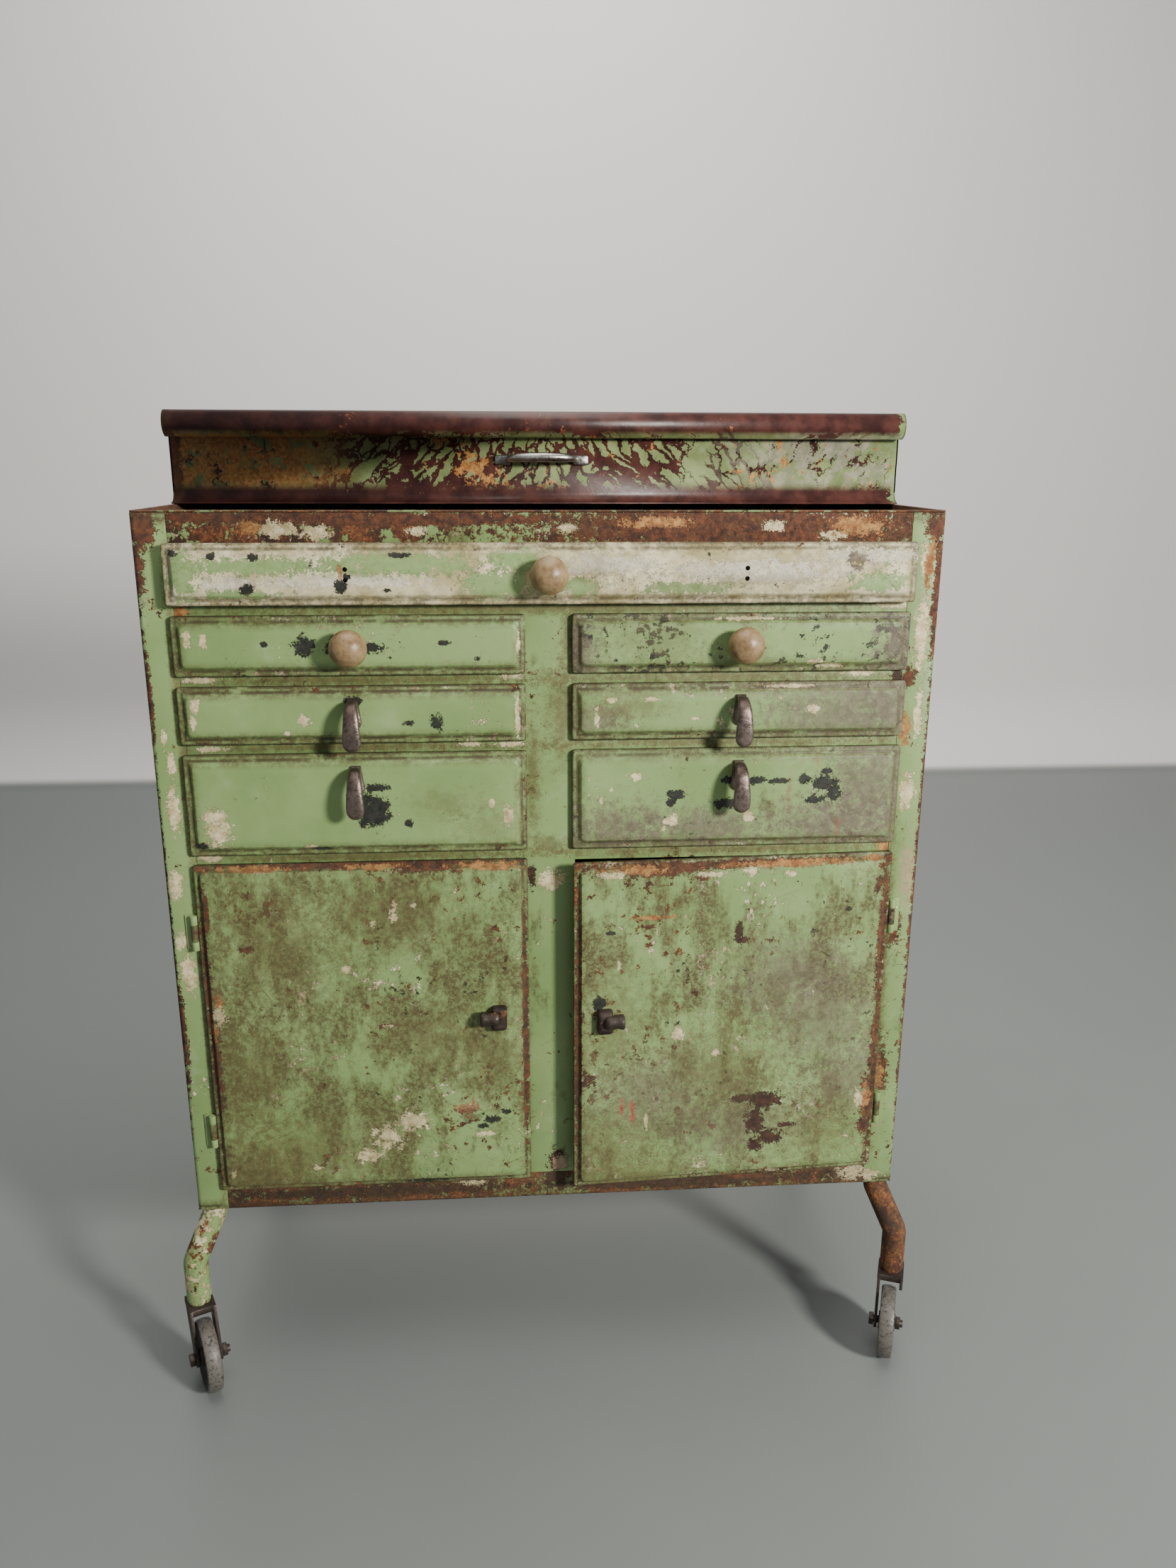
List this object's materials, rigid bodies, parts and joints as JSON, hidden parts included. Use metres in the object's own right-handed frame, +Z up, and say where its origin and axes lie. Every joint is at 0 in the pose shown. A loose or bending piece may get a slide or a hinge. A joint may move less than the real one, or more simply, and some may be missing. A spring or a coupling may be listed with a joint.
{
  "type": "instrument cabinet",
  "caption": "Sheet metal cabinet on bent legs and swivel casters, with small drawers, two cupboards, a recessed top tray and a lifting hood.",
  "frame": {"origin": "on the floor under the middle of the cabinet, midway between the casters", "axes": "+Z up, -Y towards the front with the drawers and doors, +X to the right seen from the front"},
  "size_m": [0.7978, 0.5308, 1.0115],
  "materials": {
    "enamel": "worn green enamel over cream primer",
    "front_enamel": "worn green enamel, chipped and rusted",
    "hood_enamel": "dark maroon lacquer, crackled, over green",
    "inner_steel": "dull oiled sheet steel with thin paint",
    "iron": "dark, aged",
    "plated_steel": "worn plating, satin",
    "turned_wood": "tan, satin",
    "pull_metal": "dark aged metal with rubbed bright edges",
    "leg_paint": "worn green and cream paint, rusted",
    "wheel_rubber": "hard, scuffed"
  },
  "bodies": {
    "carcass": {"side_panel_left": "enamel", "side_panel_right": "enamel", "back_panel": "enamel", "bottom_pan": "enamel", "top_tray": "enamel", "top_rail": "enamel", "front_frame": "enamel", "centre_partition": "inner_steel", "cupboard_ceiling_left": "inner_steel", "cupboard_ceiling_right": "inner_steel", "runner_rack_left": "inner_steel", "runner_rack_right": "inner_steel", "lid_hinge": "iron", "leg_front_left": "leg_paint", "leg_front_right": "leg_paint", "leg_back_right": "leg_paint", "leg_back_left": "leg_paint", "left_hinge_lower": "iron", "left_hinge_upper": "iron", "right_hinge_lower": "iron", "right_hinge_upper": "iron"},
    "wide_drawer": {"wide_drawer_box": "inner_steel", "wide_drawer_front": "front_enamel", "wide_drawer_knob": "turned_wood"},
    "left_drawer_1": {"left_drawer_1_box": "inner_steel", "left_drawer_1_front": "front_enamel", "left_drawer_1_knob": "turned_wood"},
    "left_drawer_2": {"left_drawer_2_box": "inner_steel", "left_drawer_2_front": "front_enamel", "left_drawer_2_pull": "pull_metal"},
    "left_drawer_3": {"left_drawer_3_box": "inner_steel", "left_drawer_3_front": "front_enamel", "left_drawer_3_pull": "pull_metal"},
    "right_drawer_1": {"right_drawer_1_box": "inner_steel", "right_drawer_1_front": "front_enamel", "right_drawer_1_knob": "turned_wood"},
    "right_drawer_2": {"right_drawer_2_box": "inner_steel", "right_drawer_2_front": "front_enamel", "right_drawer_2_pull": "pull_metal"},
    "right_drawer_3": {"right_drawer_3_box": "inner_steel", "right_drawer_3_front": "front_enamel", "right_drawer_3_pull": "pull_metal"},
    "left_door_leaf": {"left_door": "front_enamel"},
    "left_latch": {"left_door_latch": "iron"},
    "right_door_leaf": {"right_door": "front_enamel"},
    "right_latch": {"right_door_latch": "iron"},
    "hood": {"lid_hood": "hood_enamel", "lid_handle": "plated_steel"},
    "caster_front_left": {"fork_front_left": "iron", "axle_front_left": "plated_steel"},
    "roller_front_left": {"wheel_front_left": "wheel_rubber"},
    "caster_front_right": {"fork_front_right": "iron", "axle_front_right": "plated_steel"},
    "roller_front_right": {"wheel_front_right": "wheel_rubber"},
    "caster_back_right": {"fork_back_right": "iron", "axle_back_right": "plated_steel"},
    "roller_back_right": {"wheel_back_right": "wheel_rubber"},
    "caster_back_left": {"fork_back_left": "iron", "axle_back_left": "plated_steel"},
    "roller_back_left": {"wheel_back_left": "wheel_rubber"}
  },
  "joints": [
    {"name": "wide_drawer_slide", "type": "slide", "parent": "carcass", "child": "wide_drawer", "axis": [0, -1, 0], "range_m": [-0.007, 0.27]},
    {"name": "left_drawer_1_slide", "type": "slide", "parent": "carcass", "child": "left_drawer_1", "axis": [0, -1, 0], "range_m": [0, 0.28]},
    {"name": "left_drawer_2_slide", "type": "slide", "parent": "carcass", "child": "left_drawer_2", "axis": [0, -1, 0], "range_m": [0, 0.28]},
    {"name": "left_drawer_3_slide", "type": "slide", "parent": "carcass", "child": "left_drawer_3", "axis": [0, -1, 0], "range_m": [0, 0.28]},
    {"name": "right_drawer_1_slide", "type": "slide", "parent": "carcass", "child": "right_drawer_1", "axis": [0, -1, 0], "range_m": [0, 0.28]},
    {"name": "right_drawer_2_slide", "type": "slide", "parent": "carcass", "child": "right_drawer_2", "axis": [0, -1, 0], "range_m": [0, 0.28]},
    {"name": "right_drawer_3_slide", "type": "slide", "parent": "carcass", "child": "right_drawer_3", "axis": [0, -1, 0], "range_m": [0, 0.28]},
    {"name": "left_door_hinge", "type": "hinge", "parent": "carcass", "child": "left_door_leaf", "pos_m": [-0.3498, -0.2045, 0.224], "axis": [0, 0, -1], "range_deg": [0, 110]},
    {"name": "left_latch_turn", "type": "hinge", "parent": "left_door_leaf", "child": "left_latch", "pos_m": [-0.053, -0.2098, 0.4175], "axis": [0, 1, 0], "range_deg": [0, 90]},
    {"name": "right_door_hinge", "type": "hinge", "parent": "carcass", "child": "right_door_leaf", "pos_m": [0.3498, -0.2045, 0.224], "axis": [0, 0, 1], "range_deg": [-3, 107]},
    {"name": "right_latch_turn", "type": "hinge", "parent": "right_door_leaf", "child": "right_latch", "pos_m": [0.05368, -0.22533, 0.4175], "axis": [0.0523, -0.9986, 0], "range_deg": [0, 90]},
    {"name": "lid_hinge_turn", "type": "hinge", "parent": "carcass", "child": "hood", "pos_m": [0, 0.2045, 0.9235], "axis": [-1, 0, 0], "range_deg": [0, 100]},
    {"name": "swivel_front_left", "type": "hinge", "parent": "carcass", "child": "caster_front_left", "pos_m": [-0.381, -0.206, 0.09], "axis": [0, 0, 1], "continuous": true},
    {"name": "wheel_spin_front_left", "type": "hinge", "parent": "caster_front_left", "child": "roller_front_left", "pos_m": [-0.37086, -0.22775, 0.038], "axis": [0.9063, 0.4226, 0], "continuous": true},
    {"name": "swivel_front_right", "type": "hinge", "parent": "carcass", "child": "caster_front_right", "pos_m": [0.381, -0.206, 0.09], "axis": [0, 0, 1], "continuous": true},
    {"name": "wheel_spin_front_right", "type": "hinge", "parent": "caster_front_right", "child": "roller_front_right", "pos_m": [0.3724, -0.22841, 0.038], "axis": [0.9336, -0.3584, 0], "continuous": true},
    {"name": "swivel_back_right", "type": "hinge", "parent": "carcass", "child": "caster_back_right", "pos_m": [0.381, 0.206, 0.09], "axis": [0, 0, 1], "continuous": true},
    {"name": "wheel_spin_back_right", "type": "hinge", "parent": "caster_back_right", "child": "roller_back_right", "pos_m": [0.37086, 0.22775, 0.038], "axis": [-0.9063, -0.4226, 0], "continuous": true},
    {"name": "swivel_back_left", "type": "hinge", "parent": "carcass", "child": "caster_back_left", "pos_m": [-0.381, 0.206, 0.09], "axis": [0, 0, 1], "continuous": true},
    {"name": "wheel_spin_back_left", "type": "hinge", "parent": "caster_back_left", "child": "roller_back_left", "pos_m": [-0.3724, 0.22841, 0.038], "axis": [-0.9336, 0.3584, 0], "continuous": true}
  ]
}
